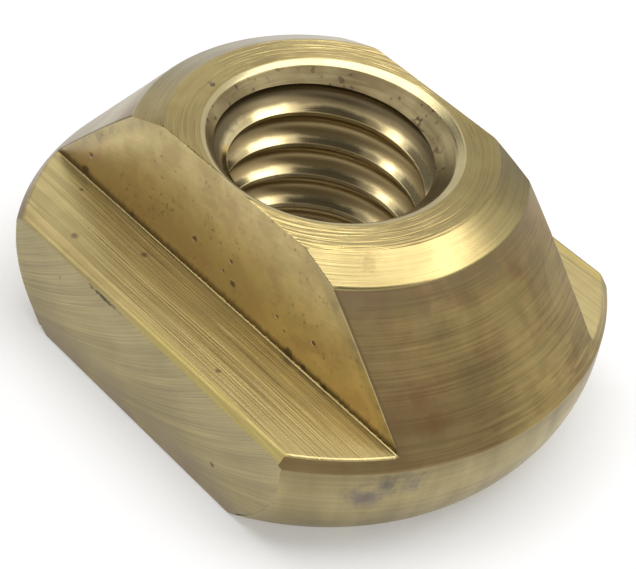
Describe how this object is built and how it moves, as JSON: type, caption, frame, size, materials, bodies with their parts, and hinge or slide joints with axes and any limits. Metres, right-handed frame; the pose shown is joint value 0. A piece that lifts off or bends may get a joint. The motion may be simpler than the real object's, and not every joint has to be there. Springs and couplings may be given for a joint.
{
  "type": "tee nut",
  "caption": "Brass tee nut for a slotted track: a round base with milled flats, a cone cut to a narrow neck with ledges, and a countersunk tapped hole through it.",
  "frame": {"origin": "on the axis of the tapped hole, in the plane of the flat underside", "axes": "+Z along the tapped hole, from the wide base towards the neck and the countersink; +X along the neck and the flats, the way the nut slides in its slot; +Y across the slot"},
  "size_m": [0.015, 0.011, 0.0066],
  "materials": {
    "brass": "bare brass as machined: turned cone and rim, milled ledges, flats and neck walls, light tarnish and small pits"
  },
  "bodies": {
    "root": {"tee_nut": "brass"}
  },
  "joints": []
}
